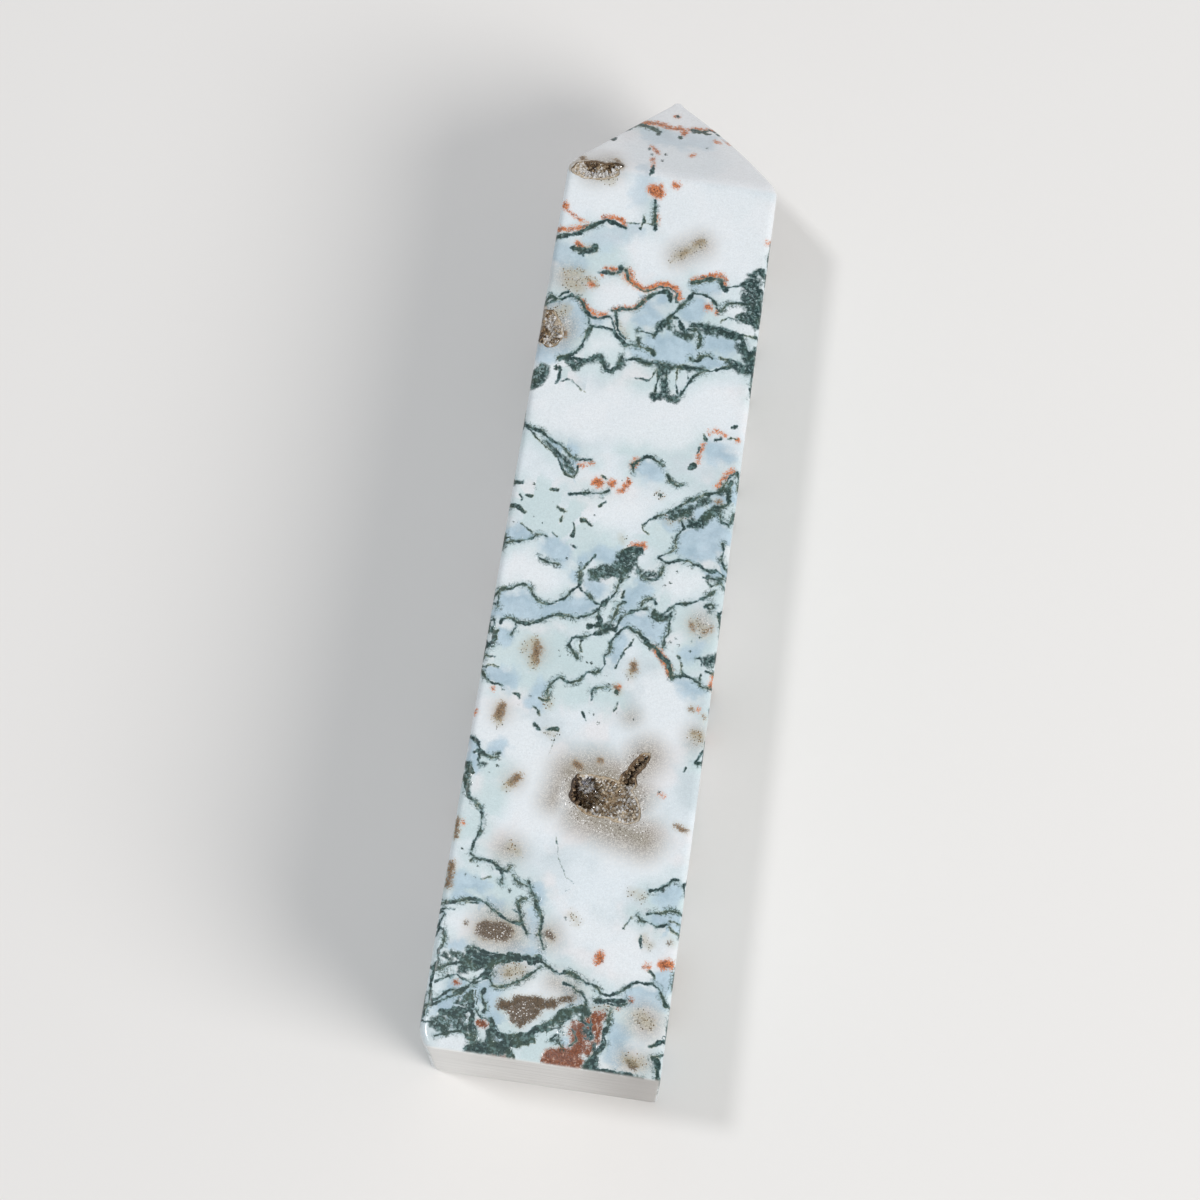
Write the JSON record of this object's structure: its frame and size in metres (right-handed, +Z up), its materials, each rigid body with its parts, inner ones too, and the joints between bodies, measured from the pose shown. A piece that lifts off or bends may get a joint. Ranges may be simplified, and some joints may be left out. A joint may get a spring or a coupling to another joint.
{
  "type": "tree agate tower",
  "caption": "Tapering square column of polished white and moss-green agate with a faceted point and a flat sawn end, shown lying on a long face; small crystal hollows open in its upper face.",
  "frame": {"origin": "under the middle of the tower, on the surface that its lower long face rests on", "axes": "+Y along the tower from the sawn end to the point, +Z up out of the upper long face, +X to the right seen from above with the point away"},
  "size_m": [0.0328, 0.1414, 0.0329],
  "materials": {
    "polished_agate": "polished opaque to faintly translucent white chalcedony with dark green moss veins, orange iron spots and a matt sawn end",
    "quartz_druse": "small glassy quartz crystals, clear to smoky brown, lining a hollow"
  },
  "bodies": {
    "root": {"agate_tower": "polished_agate", "main_vug_crystals": "quartz_druse", "shoulder_pocket_crystals": "quartz_druse", "edge_pocket_crystals": "quartz_druse"}
  },
  "joints": []
}
